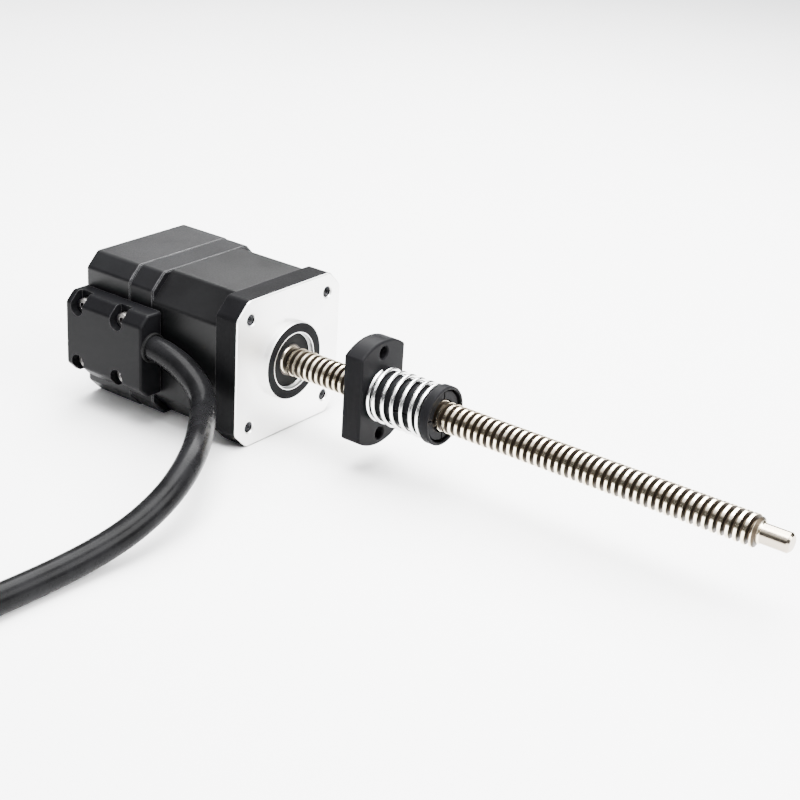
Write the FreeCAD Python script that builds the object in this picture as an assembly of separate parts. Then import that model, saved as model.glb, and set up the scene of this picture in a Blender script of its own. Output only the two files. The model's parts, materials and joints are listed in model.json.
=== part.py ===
import FreeCAD, Part
import math
import os

# Hybrid stepper motor, 42 mm square frame, whose rotor shaft is a long trapezoidal lead screw.
# It carries a flanged anti-backlash nut, a shaft encoder under a rear cover, and a side cable box.
# Frame: +X runs along the screw towards its free end (front), +Z is up, the box is on the -Y side.
# The origin is the centre of the mounting face. Lengths are in millimetres, angles in degrees.

os.makedirs("parts", exist_ok=True)
Vec = FreeCAD.Vector
ORIGIN = Vec(0, 0, 0)
AXIS = Vec(1, 0, 0)
UP = Vec(0, 0, 1)

# ---------------------------------------------------------------- shared dimensions
GAP = 0.01                # seated joints
FACE_GAP = 0.02           # end faces that meet along X
HALF = 21.0               # half of the square frame
HOLE_OFFSET = 31.0 / 2    # mounting holes and long screws
FLANGE_END = -7.5         # rear faces of the housing parts, front to rear
STATOR_END = -31.0
BELL_END = -39.7
COVER_END = -57.0
FLANGE_CORNER, STATOR_CORNER, BELL_CORNER, COVER_CORNER = 4.5, 7.5, 4.5, 4.0
SCREW_HOLE_R = 1.75       # clearance holes of the long assembly screws
CAVITY_R = 18.2           # end-turn cavity in flange and bell
HOUSING_R = 10.2          # bearing housing
SMALL_HOLE_R = 1.25       # holes that take the small screws

BEARING_R, BEARING_W = 8.0, 5.0
FRONT_BEARING_X, REAR_BEARING_X = -1.8, -34.9     # middles

SCREW_R = 4.0             # Tr8x2 crest
ROOT_R = 2.75             # Tr8x2 root
PITCH = 2.0               # single start, so lead = pitch
PITCH_R = SCREW_R - PITCH / 4
HAND = -1                 # left-hand thread: the ridge moves towards -X as the angle grows
TAN_FLANK = math.tan(math.radians(15.0))
SHAFT_R = 2.5             # rear of the shaft
SHAFT_REAR_X, SHAFT_STEP_X = -46.5, -29.8

POLES = 8
POLE_PITCH = 360.0 / POLES
ROTOR_R, TEETH = 12.0, 50
TOOTH_PITCH = 360.0 / TEETH
TOOTH_TIP = 1.3           # half angle of a tooth at its tip
NECK = 2.1                # half width of a stator pole

# (y, z) places
CORNERS = [(y, z) for y in (-HOLE_OFFSET, HOLE_OFFSET) for z in (-HOLE_OFFSET, HOLE_OFFSET)]
COVER_SCREWS = [(y, z) for y in (-9.5, 9.5) for z in (-17.6, 17.6)]
STANDOFFS = [(11.5, 11.5), (11.5, -11.5), (-11.5, -11.5)]
LEAD_HOLE = (0.0, -16.4)  # passage of the coil leads through the bell

BOX_REAR_SCREW_X, BOX_FRONT_SCREW_X = -52.1, -36.8
BOX_SCREW_Z = (-8.1, 8.1)
BOX_SCREWS = [(x, z) for x in (BOX_REAR_SCREW_X, BOX_FRONT_SCREW_X) for z in BOX_SCREW_Z]


# ---------------------------------------------------------------- helpers
def cyl(radius, x0, x1, y=0.0, z=0.0):
    return Part.makeCylinder(radius, abs(x1 - x0), Vec(min(x0, x1), y, z), AXIS)


def cyl_y(radius, y0, y1, x, z):
    return Part.makeCylinder(radius, y1 - y0, Vec(x, y0, z), Vec(0, 1, 0))


def cone(r0, r1, x0, x1, y=0.0, z=0.0):
    return Part.makeCone(r0, r1, x1 - x0, Vec(x0, y, z), AXIS)


def ring(outer_r, inner_r, x0, x1, y=0.0, z=0.0):
    low, high = min(x0, x1), max(x0, x1)
    return cyl(outer_r, low, high, y, z).cut(cyl(inner_r, low - 1, high + 1, y, z))


def box(x0, x1, y0, y1, z0, z1):
    corner = Vec(min(x0, x1), min(y0, y1), min(z0, z1))
    return Part.makeBox(abs(x1 - x0), abs(y1 - y0), abs(z1 - z0), corner)


def polar(radius, degrees):
    angle = math.radians(degrees)
    return (radius * math.cos(angle), radius * math.sin(angle))


def hexagon(radius, centre_a=0.0, centre_b=0.0):
    points = [polar(radius, 60 * k) for k in range(6)]
    return [(centre_a + a, centre_b + b) for a, b in points]


def outline(points, radii):
    """Closed wire through (y, z) points; radii is one corner radius, or a list of them."""
    count = len(points)
    points = [Vec(0, y, z) for y, z in points]
    if not isinstance(radii, list):
        radii = [radii] * count
    arcs = []             # start, middle and end of each corner
    for i, (corner, radius) in enumerate(zip(points, radii)):
        if radius <= 0:
            arcs.append((corner, None, corner))
            continue
        back = points[i - 1] - corner
        ahead = points[(i + 1) % count] - corner
        back.normalize()
        ahead.normalize()
        half_angle = back.getAngle(ahead) / 2
        reach = radius / math.tan(half_angle)
        bisector = back + ahead
        bisector.normalize()
        centre = corner + bisector * (radius / math.sin(half_angle))
        arcs.append((corner + back * reach, centre - bisector * radius, corner + ahead * reach))
    edges = []
    for i, (start, middle, end) in enumerate(arcs):
        if middle is not None:
            edges.append(Part.Arc(start, middle, end).toShape())
        next_start = arcs[(i + 1) % count][0]
        if (end - next_start).Length > 1e-6:
            edges.append(Part.makeLine(end, next_start))
    return Part.Wire(edges)


def prism(points, x0, x1, radii=0.0):
    face = Part.Face(outline(points, radii))
    face.translate(Vec(x0, 0, 0))
    return face.extrude(Vec(x1 - x0, 0, 0))


def frame_prism(half, corner, x0, x1, rounding=1.5):
    """Square bar with its four corners cut off and every edge along X rounded."""
    side = half - corner
    octagon = [(-half, -side), (-side, -half), (side, -half), (half, -side),
               (half, side), (side, half), (-side, half), (-half, side)]
    return prism(octagon, x0, x1, rounding)


def edges_at_x(shape, x, keep=lambda edge: True):
    return [edge for edge in shape.Edges
            if abs(edge.BoundBox.XMin - x) < 1e-4 and abs(edge.BoundBox.XMax - x) < 1e-4
            and keep(edge)]


def soften(shape, edges, size, chamfer=False):
    """Round or chamfer edges."""
    if not edges:
        return shape
    # guards against a fillet or chamfer that can't be built: the edges then stay sharp
    try:
        done = shape.makeChamfer(size, edges) if chamfer else shape.makeFillet(size, edges)
        if done.isValid() and done.Solids and abs(done.Volume - shape.Volume) < 0.05 * shape.Volume:
            return done
    except Exception:
        pass
    return shape


def closed_solid(faces):
    shell = Part.makeShell(faces)
    shell.sewShape()
    solid = Part.makeSolid(shell.Shells[0])
    if solid.Volume < 0:
        solid.reverse()
    return solid


def save(name, shape):
    solids = shape.Solids
    piece = solids[0] if len(solids) == 1 else Part.makeCompound(solids)
    piece.exportStep("parts/%s.step" % name)


def cap_screw(y, z, head_r, head, rounding, socket_r, socket, shank_r, shank):
    """Hex-socket screw along X, head to the rear; head, socket and shank are x spans."""
    screw = cyl(head_r, *head, y, z)
    screw = soften(screw, edges_at_x(screw, head[0]), rounding)
    screw = screw.cut(prism(hexagon(socket_r, y, z), *socket))
    return screw.fuse(cyl(shank_r, *shank, y, z))


# ---------------------------------------------------------------- helical solids
def helix_edge(radius, k, shift):
    """Helical edge over half turn number k, shifted along X."""
    spans = 12

    def point(angle):
        x = HAND * PITCH * angle / (2 * math.pi) + shift
        return Vec(x, radius * math.cos(angle), radius * math.sin(angle))

    def tangent(angle):
        advance = HAND * PITCH / (2 * math.pi)
        return Vec(advance, -radius * math.sin(angle), radius * math.cos(angle)) * math.pi

    start, end = k * math.pi, (k + 1) * math.pi
    curve = Part.BSplineCurve()
    curve.interpolate(Points=[point(start + math.pi * i / spans) for i in range(spans + 1)],
                      InitialTangent=tangent(start), FinalTangent=tangent(end),
                      Parameters=[i / spans for i in range(spans + 1)])
    return curve.toShape()


def to_axis(edge):
    """Screw surface between a helical edge and the axis."""
    curve = edge.Curve
    poles = curve.getPoles()
    surface = Part.BSplineSurface()
    surface.buildFromPolesMultsKnots([[Vec(p.x, 0, 0) for p in poles], poles],
                                     [2, 2], curve.getMultiplicities(),
                                     [0, 1], curve.getKnots(), False, False, 1, curve.Degree)
    return surface.toShape()


def helical_body(root_r, crest_r, x_low, x_high, clearance=0.0):
    """Closed solid of a core with one helical ridge, running a little past x_low and x_high.

    The clearance widens the ridge on each flank. Half turns are counted from the origin.
    """
    first, last = sorted(HAND * x * 2 / PITCH for x in (x_low, x_high))
    first, last = math.floor(first) - 2, math.ceil(last) + 2

    def half_width(radius):
        return PITCH / 4 + clearance + (PITCH_R - radius) * TAN_FLANK

    # the near side of the ridge is where the helix came from, the far side where it goes
    far_root, far_crest = HAND * half_width(root_r), HAND * half_width(crest_r)
    near_root, near_crest = -far_root, -far_crest

    faces = []
    far_edges = {}
    for k in range(first, last):
        near_edge = helix_edge(root_r, k, near_root)
        far_edges[k] = helix_edge(root_r, k, far_root)
        near_top = helix_edge(crest_r, k, near_crest)
        far_top = helix_edge(crest_r, k, far_crest)
        faces.append(Part.makeRuledSurface(near_edge, near_top))
        faces.append(Part.makeRuledSurface(near_top, far_top))
        faces.append(Part.makeRuledSurface(far_top, far_edges[k]))
    # core surface between one turn of the ridge and the next
    for k in range(first, last - 2):
        next_near = helix_edge(root_r, k + 2, near_root)
        faces.append(Part.makeRuledSurface(far_edges[k], next_near))
    for k in (first, first + 1):
        faces.append(to_axis(helix_edge(root_r, k, near_root)))
    for k in (last - 2, last - 1):
        faces.append(to_axis(far_edges[k]))

    def wall(k, at_start):
        """Flat face at half turn k, through the ridge and one pitch of the core."""
        def point(radius, turn, shift):
            angle = k * math.pi
            x = HAND * PITCH * turn / 2 + shift
            return Vec(x, radius * math.cos(angle), radius * math.sin(angle))

        ridge = [point(root_r, k, near_root), point(crest_r, k, near_crest),
                 point(crest_r, k, far_crest), point(root_r, k, far_root)]
        if at_start:
            loop = [point(0, k, near_root)] + ridge
            loop += [point(root_r, k + 2, near_root), point(0, k + 2, near_root),
                     point(0, k + 1, near_root)]
        else:
            loop = [point(0, k - 2, far_root), point(root_r, k - 2, far_root)] + ridge
            loop += [point(0, k, far_root), point(0, k - 1, far_root)]
        return Part.Face(Part.makePolygon(loop + [loop[0]]))

    faces.append(wall(first, True))
    faces.append(wall(last, False))
    return closed_solid(faces)


# ---------------------------------------------------------------- rods along a path
def side_directions(points):
    """Two side directions at each point of a path, turned as little as possible."""
    last = len(points) - 1
    pairs = []
    side = None
    for i in range(last + 1):
        tangent = points[min(i + 1, last)] - points[max(i - 1, 0)]
        tangent.normalize()
        if side is None:
            side = Vec(0, 0, 1) if abs(tangent.z) < 0.8 else Vec(0, 1, 0)
        side = side - tangent * side.dot(tangent)
        side.normalize()
        pairs.append((side, tangent.cross(side)))
    return pairs


def rods(points, offsets, radius):
    """Round rods that keep their places in a bundle along a path.

    Each rod's side is four quarter-round faces.
    """
    distances = [0.0]
    for here, there in zip(points, points[1:]):
        distances.append(distances[-1] + (there - here).Length)

    def smooth(through):
        curve = Part.BSplineCurve()
        curve.interpolate(Points=through, Parameters=distances)
        return curve

    sides = side_directions(points)
    centre = smooth(points)
    centre_poles = centre.getPoles()
    side_poles = []
    for j in range(2):
        shifted = smooth([p + pair[j] for p, pair in zip(points, sides)])
        side_poles.append([q - p for q, p in zip(shifted.getPoles(), centre_poles)])
    poles = list(zip(centre_poles, *side_poles))
    mults, knots = centre.getMultiplicities(), centre.getKnots()
    k = 0.5522847         # cubic control length of a quarter circle
    circle = [(1, 0), (1, k), (k, 1), (0, 1), (-k, 1), (-1, k), (-1, 0),
              (-1, -k), (-k, -1), (0, -1), (k, -1), (1, -k), (1, 0)]
    bundle = []
    for offset_a, offset_b in offsets:
        faces, start, end = [], [], []
        for quarter in range(4):
            grid = [[p + a * (offset_a + radius * u) + b * (offset_b + radius * v)
                     for p, a, b in poles]
                    for u, v in circle[3 * quarter:3 * quarter + 4]]
            surface = Part.BSplineSurface()
            surface.buildFromPolesMultsKnots(grid, [4, 4], mults, [0, 1], knots,
                                             False, False, 3, 3)
            faces.append(surface.toShape())
            start.append(surface.vIso(knots[0]).toShape())
            end.append(surface.vIso(knots[-1]).toShape())
        for rim in (start, end):
            faces.append(Part.Face(Part.Wire(rim)))
        bundle.append(closed_solid(faces))
    return bundle


def pipe(points, radius):
    return rods(points, [(0, 0)], radius)[0]


# ---------------------------------------------------------------- front flange
def front_flange():
    pilot_r, pilot_height = 11.0, 2.0
    hole_r, hole_depth, hole_flare = 1.5, 4.5, 0.45
    screw_r = 1.7         # the long screws' ends, behind the mounting holes
    past = FLANGE_END - 1
    flange = frame_prism(HALF, FLANGE_CORNER, FLANGE_END, 0, 2.2)
    flange = soften(flange, edges_at_x(flange, 0), 0.3, chamfer=True)
    pilot = cyl(pilot_r, -1, pilot_height)
    pilot = soften(pilot, edges_at_x(pilot, pilot_height), 0.2, chamfer=True)
    flange = flange.fuse(pilot)
    cavity = ring(CAVITY_R, HOUSING_R, past, -2.7).fuse(cyl(HOUSING_R + 0.5, past, -5.2))
    # the cavity, the bearing seat and the opening behind it
    flange = flange.cut(cavity).cut(cyl(BEARING_R, -4.35, 5)).cut(cyl(6.9, -8, 1))
    for y, z in CORNERS:
        flange = flange.cut(cyl(hole_r, -hole_depth, 1, y, z))
        flange = flange.cut(cyl(screw_r, past, -hole_depth, y, z))
        flange = flange.cut(cone(hole_r, hole_r + hole_flare, -0.4, 0.05, y, z))
    return flange


save("front_flange", front_flange())


# ---------------------------------------------------------------- stator
def stator_bore():
    """(y, z) points of the opening: slots between eight poles of six teeth each."""
    slot_r, shoe_r, shoe_angle = 17.4, 13.7, 20.3
    neck_end = 14.2       # radial place where the neck meets the shoe
    tooth_r = ROTOR_R + 0.1
    gullet_r, gullet = ROTOR_R + 0.8, 1.7
    neck_angle = math.degrees(math.asin(NECK / slot_r))

    def neck_point(side, degrees):
        angle = math.radians(degrees)
        c, s = math.cos(angle), math.sin(angle)
        return (neck_end * c - side * s, neck_end * s + side * c)

    points = []
    for k in range(POLES):
        pole = POLE_PITCH * k
        points += [polar(slot_r, pole - 22.5), polar(slot_r, pole - 15),
                   polar(slot_r, pole - neck_angle), neck_point(-NECK, pole),
                   polar(shoe_r, pole - shoe_angle), polar(gullet_r, pole - shoe_angle)]
        for i in range(6):
            tooth = pole + (i - 2.5) * TOOTH_PITCH
            points += [polar(gullet_r, tooth - gullet), polar(tooth_r, tooth - TOOTH_TIP),
                       polar(tooth_r, tooth + TOOTH_TIP), polar(gullet_r, tooth + gullet)]
        points += [polar(gullet_r, pole + shoe_angle), polar(shoe_r, pole + shoe_angle),
                   neck_point(NECK, pole), polar(slot_r, pole + neck_angle),
                   polar(slot_r, pole + 15)]
    return points


def stator_core():
    core = frame_prism(HALF, STATOR_CORNER, STATOR_END, FLANGE_END)
    core = core.cut(prism(stator_bore(), STATOR_END - 1, FLANGE_END + 1))
    for y, z in CORNERS:
        core = core.cut(cyl(SCREW_HOLE_R, STATOR_END - 1, 0, y, z))
    return core


def insulator(face_x, outward):
    """Moulded end insulator on the stack's end face; outward is +1 or -1 along X."""
    def standing_ring(outer_r, inner_r, height):
        return ring(outer_r, inner_r, face_x, face_x + outward * height)

    body = standing_ring(13.55, 12.95, 3.3).fuse(standing_ring(18.0, 17.48, 1.8))
    for k in range(POLES):
        arm = box(face_x, face_x + outward * 0.5, 13.3, 17.7, -NECK, NECK)
        arm.rotate(ORIGIN, AXIS, POLE_PITCH * k)
        body = body.fuse(arm)
    return body


def stator_coils():
    inner_r, thickness = 14.3, 2.3

    def loop_face(x0, x1, half, rounding):
        return Part.Face(outline([(x0, -half), (x1, -half), (x1, half), (x0, half)], rounding))

    # drawn in the YZ plane with the motor axis along Y: this swaps X with Y and flips Z
    turn = FreeCAD.Matrix(0, 1, 0, 0,
                          1, 0, 0, 0,
                          0, 0, -1, 0,
                          0, 0, 0, 1)
    coils = []
    for k in range(POLES):
        face = loop_face(-34.3, -4.2, 4.9, 1.6).cut(loop_face(-31.65, -6.85, 2.45, 0.5)).Faces[0]
        coil = face.extrude(Vec(thickness, 0, 0))
        coil.translate(Vec(inner_r, 0, 0))
        coil = coil.transformShape(turn, True)
        coil.rotate(ORIGIN, AXIS, POLE_PITCH * k)
        coils.append(coil)
    return Part.makeCompound(coils)


save("stator_core", stator_core())
save("front_insulator", insulator(FLANGE_END, 1))
save("rear_insulator", insulator(STATOR_END, -1))
save("stator_coils", stator_coils())

# ---------------------------------------------------------------- rear bell and long screws
COUNTERBORE_X = -36.9     # floor of the screw counterbores
WASHER_REAR_X = -37.4
HEAD_REAR_X, HEAD_FRONT_X = -39.4, WASHER_REAR_X - FACE_GAP


def box_screw_hole(x, z):
    return cyl_y(SMALL_HOLE_R, -22, -17.4, x, z)


def rear_bell():
    front, rear = STATOR_END + 1, BELL_END - 1        # past either face
    bell = frame_prism(HALF, BELL_CORNER, BELL_END, STATOR_END)
    bell = soften(bell, edges_at_x(bell, STATOR_END), 0.35, chamfer=True)
    bell = soften(bell, edges_at_x(bell, BELL_END), 0.3, chamfer=True)
    cavity = ring(CAVITY_R, HOUSING_R, -35.2, front).fuse(cyl(HOUSING_R + 0.5, -32.2, front))
    # the cavity, the bearing seat and the shaft hole
    bell = bell.cut(cavity).cut(cyl(BEARING_R, -38.2, front)).cut(cyl(4.2, rear, -38))
    for y, z in CORNERS:
        bell = bell.cut(cyl(SCREW_HOLE_R, rear, front, y, z))
        bell = bell.cut(cyl(3.1, rear, COUNTERBORE_X, y, z))
    for y, z in COVER_SCREWS:
        bell = bell.cut(cyl(SMALL_HOLE_R, rear, -36.6, y, z))
    for y, z in STANDOFFS:
        bell = bell.cut(cyl(SMALL_HOLE_R, rear, -36.9, y, z))
    bell = bell.cut(cyl(1.6, rear, -34, *LEAD_HOLE))
    for z in BOX_SCREW_Z:
        bell = bell.cut(box_screw_hole(BOX_FRONT_SCREW_X, z))
    return bell


def motor_screw(y, z):
    return cap_screw(y, z, head_r=2.75, head=(HEAD_REAR_X, HEAD_FRONT_X), rounding=0.4,
                     socket_r=1.2, socket=(HEAD_REAR_X - 0.1, -38.3),
                     shank_r=1.48, shank=(HEAD_FRONT_X - 0.01, -4.8))


save("rear_bell", rear_bell())
save("motor_screws", Part.makeCompound([motor_screw(y, z) for y, z in CORNERS]))
save("screw_washers", Part.makeCompound(
    [ring(2.9, 1.6, WASHER_REAR_X, COUNTERBORE_X - FACE_GAP, y, z) for y, z in CORNERS]))


# ---------------------------------------------------------------- bearings
def save_bearing(name, middle, bore, pitch_r, ball_r, balls, half_gap, seal_in, seal_out):
    """Sealed deep-groove ball bearing: outer ring, inner ring, balls, cage, two seals."""
    half = BEARING_W / 2
    rim = BEARING_R - 0.1
    groove = Part.makeTorus(pitch_r, ball_r + 0.04, Vec(middle, 0, 0), AXIS)
    outer = ring(BEARING_R - GAP, pitch_r + half_gap, middle - half, middle + half)
    inner = ring(pitch_r - half_gap, bore + GAP, middle - half, middle + half)
    for s in (-1, 1):
        x0, x1 = middle + s * (half - 0.6), middle + s * (half + 0.1)
        outer = outer.cut(cyl(seal_out, x0, x1))
        inner = inner.cut(ring(seal_in + 3, seal_in, x0, x1))
    outer = outer.cut(groove)
    inner = inner.cut(groove)
    rim_edges = []
    for s in (-1, 1):
        rim_edges += edges_at_x(outer, middle + s * half, lambda edge: edge.BoundBox.ZMax > rim)
    outer = soften(outer, rim_edges, 0.25, chamfer=True)

    cage_half = ball_r + 0.32
    cage = ring(pitch_r + 0.3, pitch_r - 0.3, middle - cage_half, middle + cage_half)
    spheres = []
    for k in range(balls):
        radial = Vec(0, *polar(1.0, 360.0 * k / balls))
        centre = Vec(middle, 0, 0) + radial * pitch_r
        spheres.append(Part.makeSphere(ball_r, centre))
        cage = cage.cut(Part.makeCylinder(ball_r + 0.07, 4, centre - radial * 2, radial))
    seals = [ring(seal_out - GAP, seal_in + 0.06,
                  middle + s * (half - 0.15), middle + s * (half - 0.5)) for s in (-1, 1)]

    save(name + "_outer", outer)
    save(name + "_inner", inner)
    save(name + "_balls", Part.makeCompound(spheres))
    save(name + "_cage", cage)
    save(name + "_seals", Part.makeCompound(seals))


save_bearing("front_bearing", FRONT_BEARING_X, bore=SCREW_R, pitch_r=6.0, ball_r=1.0, balls=9,
             half_gap=0.62, seal_in=4.4, seal_out=7.6)
save_bearing("rear_bearing", REAR_BEARING_X, bore=SHAFT_R, pitch_r=5.25, ball_r=1.35, balls=7,
             half_gap=0.8, seal_in=3.7, seal_out=7.0)
save("preload_washer", ring(7.8, 6.2, -37.98, -37.5))


# ---------------------------------------------------------------- lead screw
def lead_screw():
    """Threaded screw, tip journal and motor shaft in one piece."""
    thread_x0, thread_x1 = 1.0, 142.2
    tip_r, tip_x = 2.5, 149.4
    taper, small_r, large_r = 2.0, 2.6, 4.6           # envelope that tapers the thread's ends
    thread = helical_body(ROOT_R, SCREW_R, thread_x0, thread_x1)
    envelope = cone(small_r, large_r, thread_x0, thread_x0 + taper)
    envelope = envelope.fuse(cyl(large_r, thread_x0 + taper, thread_x1 - taper))
    envelope = envelope.fuse(cone(large_r, small_r, thread_x1 - taper, thread_x1))
    thread = thread.common(envelope)
    shaft = cyl(SHAFT_R, SHAFT_REAR_X, SHAFT_STEP_X)
    shaft = soften(shaft, edges_at_x(shaft, SHAFT_REAR_X), 0.4, chamfer=True)
    front = cyl(SCREW_R, SHAFT_STEP_X, thread_x0)
    front = soften(front, edges_at_x(front, thread_x0), 0.3, chamfer=True)
    tip = cyl(tip_r, thread_x1, tip_x)
    tip = soften(tip, edges_at_x(tip, tip_x), 0.6, chamfer=True)
    return thread.fuse(front).fuse(tip).fuse(shaft)


save("lead_screw", lead_screw())

# ---------------------------------------------------------------- rotor
# rear faces of the parts on the shaft, front to rear
SPACER_END, FRONT_CUP_END, MAGNET_END, REAR_CUP_END = -8.7, -17.7, -20.7, -29.7
ROTOR_BORE = SCREW_R + GAP


def rotor_cup(x0, x1, phase):
    """Toothed cup; phase turns its teeth."""
    root_r, root = ROTOR_R - 0.7, 1.8
    points = []
    for k in range(TEETH):
        tooth = phase + TOOTH_PITCH * k
        points += [polar(root_r, tooth - root), polar(ROTOR_R, tooth - TOOTH_TIP),
                   polar(ROTOR_R, tooth + TOOTH_TIP), polar(root_r, tooth + root)]
    return prism(points, x0, x1).cut(cyl(ROTOR_BORE, x0 - 1, x1 + 1))


save("rotor_cup_front", rotor_cup(FRONT_CUP_END, SPACER_END - FACE_GAP, 0))
save("rotor_cup_rear", rotor_cup(REAR_CUP_END, MAGNET_END - FACE_GAP, TOOTH_PITCH / 2))
save("rotor_magnet", ring(11.0, ROTOR_BORE, MAGNET_END, FRONT_CUP_END - FACE_GAP))
save("rotor_spacer_front", ring(5.2, ROTOR_BORE, SPACER_END,
                                FRONT_BEARING_X - BEARING_W / 2 - FACE_GAP))
save("rotor_spacer_rear", ring(4.3, SHAFT_R + GAP, REAR_BEARING_X + BEARING_W / 2 + FACE_GAP,
                               SHAFT_STEP_X - FACE_GAP))

# ---------------------------------------------------------------- shaft encoder
HUB_REAR_X, GRUB_X = -46.0, -43.7
BOARD_REAR_X, BOARD_FRONT_X = -50.6, -49.0
PART_X = BOARD_REAR_X - FACE_GAP      # parts on the board's rear face start here


def encoder_hub():
    hub = ring(6.0, SHAFT_R + GAP, HUB_REAR_X, -41.5)
    return hub.cut(Part.makeCylinder(1.02, 5, Vec(GRUB_X, 0, 2), UP))


def encoder_board():
    board = frame_prism(14.5, 2.0, BOARD_REAR_X, BOARD_FRONT_X, 0.5)
    for y, z in STANDOFFS:
        board = board.cut(cyl(1.35, -51, -48, y, z))
    return board


def board_components():
    # rear x, then the y and z spans of each block
    blocks = [(-51.8, 1.0, 8.0, -3.5, 3.5),
              (-52.4, -6.0, -2.5, 7.0, 10.0),
              (-52.4, 2.0, 5.5, 7.5, 10.5),
              (-51.5, -5.5, -3.5, -11.0, -7.0)]
    parts = [box(rear_x, PART_X, *spans) for rear_x, *spans in blocks]
    return Part.makeCompound(parts + [cyl(1.9, -54.3, PART_X, 7.0, -9.0)])


def standoff(y, z):
    """Hexagonal pillar with a stud in the bell and a hole for the board screw."""
    pillar = prism(hexagon(2.4, y, z), BOARD_FRONT_X + FACE_GAP, BELL_END)
    pillar = pillar.fuse(cyl(1.2, BELL_END - 0.5, -37.0, y, z))
    return pillar.cut(cyl(SMALL_HOLE_R, -49.5, -45.0, y, z))


def board_screw(y, z):
    screw = cyl(2.1, -52.2, PART_X, y, z).fuse(cyl(1.2, -50.7, -45.4, y, z))
    return screw.cut(prism(hexagon(0.9, y, z), -52.3, -51.3))


save("encoder_hub", encoder_hub())
save("encoder_disc", ring(13.0, 2.6, -46.6, HUB_REAR_X - FACE_GAP))
save("hub_grub_screw", Part.makeCylinder(1.0, 3.2, Vec(GRUB_X, 0, 2.6), UP))
save("encoder_board", encoder_board())
save("encoder_sensor", box(BOARD_FRONT_X + FACE_GAP, -47.2, -3.0, 3.0, 6.2, 12.2))
save("board_components", board_components())
save("board_connector", box(-54.4, PART_X, -18.15, -12.55, -5.35, 5.35))
save("board_standoffs", Part.makeCompound([standoff(y, z) for y, z in STANDOFFS]))
save("board_screws", Part.makeCompound([board_screw(y, z) for y, z in STANDOFFS]))

# ---------------------------------------------------------------- encoder cover
COVER_BORE_X = -55.2      # floor of the cover's counterbores


def seal_ring(outer, inner, x0, x1):
    """Octagonal ring at the cover's rim; outer and inner are (half size, corner cut)."""
    hollow = frame_prism(*inner, -42, BELL_END + 2, 1.0)
    return frame_prism(*outer, x0, x1, 1.2).cut(hollow)


def encoder_cover():
    boss_r = 2.6
    front, rear = BELL_END + 1, COVER_END - 1         # past either face
    cover = frame_prism(HALF, COVER_CORNER, COVER_END, BELL_END)
    cover = soften(cover, edges_at_x(cover, COVER_END), 1.0)
    cover = soften(cover, edges_at_x(cover, BELL_END), 0.3, chamfer=True)
    cover = cover.cut(frame_prism(18.4, 4.5, -54.8, front, 1.0))
    for y, z in COVER_SCREWS:
        # the bosses are kept within the cover's outline
        limit = frame_prism(HALF - 0.5, COVER_CORNER, -56, BELL_END)
        cover = cover.fuse(cyl(boss_r, -55.0, BELL_END, y, z).common(limit))
    for z in BOX_SCREW_Z:
        cover = cover.fuse(cyl_y(boss_r, -19.0, -16.4, BOX_REAR_SCREW_X, z))
    for y, z in COVER_SCREWS:
        cover = cover.cut(cyl(1.4, rear, front, y, z)).cut(cyl(2.4, rear, COVER_BORE_X, y, z))
    for z in BOX_SCREW_Z:
        cover = cover.cut(box_screw_hole(BOX_REAR_SCREW_X, z))
    # cable window in the -Y wall, then the gasket groove
    cover = cover.cut(box(-55.1, -49.5, -22, -18.0, -0.4, 5.4))
    return cover.cut(seal_ring((20.25, 3.75), (19.15, 3.35), -40.5, front))


def cover_screw(y, z):
    return cap_screw(y, z, head_r=2.1, head=(-56.8, COVER_BORE_X - FACE_GAP), rounding=0.3,
                     socket_r=0.95, socket=(-57, -56.0),
                     shank_r=SMALL_HOLE_R - GAP, shank=(-55.3, -37.0))


save("encoder_cover", encoder_cover())
save("cover_gasket", seal_ring((20.2, 3.73), (19.2, 3.37), -40.45, BELL_END - GAP))
save("cover_screws", Part.makeCompound([cover_screw(y, z) for y, z in COVER_SCREWS]))

# ---------------------------------------------------------------- side cable box
BOX_X0, BOX_X1 = -56.5, -27.3
BOX_Y, BOX_BASE_Y = -29.2, -21.5      # outer face, and the open face towards the motor
BOX_Z = 11.9                          # half height
BOX_BORE_Y = -24.8                    # floor of the screw recesses
CABLE_Y, CABLE_Z = -24.9, 2.5
CABLE_R, CABLE_BORE, CORE_R = 3.5, 2.75, 0.8


def cable_box():
    slope, recess_r = 2.8, 2.3
    past_base = BOX_BASE_Y + 1
    profile = [(BOX_BASE_Y, -BOX_Z), (BOX_BASE_Y, BOX_Z),
               (BOX_Y + slope, BOX_Z), (BOX_Y, BOX_Z - slope),
               (BOX_Y, -BOX_Z + slope), (BOX_Y + slope, -BOX_Z)]
    shell = prism(profile, BOX_X0, BOX_X1, [0, 0, 1.4, 1.4, 1.4, 1.4])
    end_edges = []
    for x in (BOX_X0, BOX_X1):
        end_edges += edges_at_x(shell, x, lambda edge: edge.BoundBox.YMin < BOX_BASE_Y - 0.01)
    shell = soften(shell, end_edges, 0.7)
    shell = shell.cut(box(-55.3, -29.0, -28.3, past_base, -5.2, 5.2))
    shell = shell.cut(cyl(3.9, -33.5, BOX_X1 + 1, CABLE_Y, CABLE_Z))
    for x, z in BOX_SCREWS:
        # round recess opened to the nearer Z side, then the screw hole
        open_z = math.copysign(14.0, z)
        shell = shell.cut(cyl_y(recess_r, -31, BOX_BORE_Y, x, z))
        shell = shell.cut(box(x - recess_r, x + recess_r, -31, BOX_BORE_Y, z, open_z))
        shell = shell.cut(cyl_y(1.4, -25, past_base, x, z))
    return shell


def box_gasket():
    gasket = box(-55.9, -27.9, BOX_BASE_Y + GAP, -HALF - GAP, -11.2, 11.2)
    gasket = gasket.cut(box(-55.2, -29.2, -22, -20, -5.4, 5.4))
    for x, z in BOX_SCREWS:
        gasket = gasket.cut(cyl_y(1.5, -22, -20, x, z))
    return gasket.cut(cyl(3.95, -31, -26, CABLE_Y, CABLE_Z))


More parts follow.
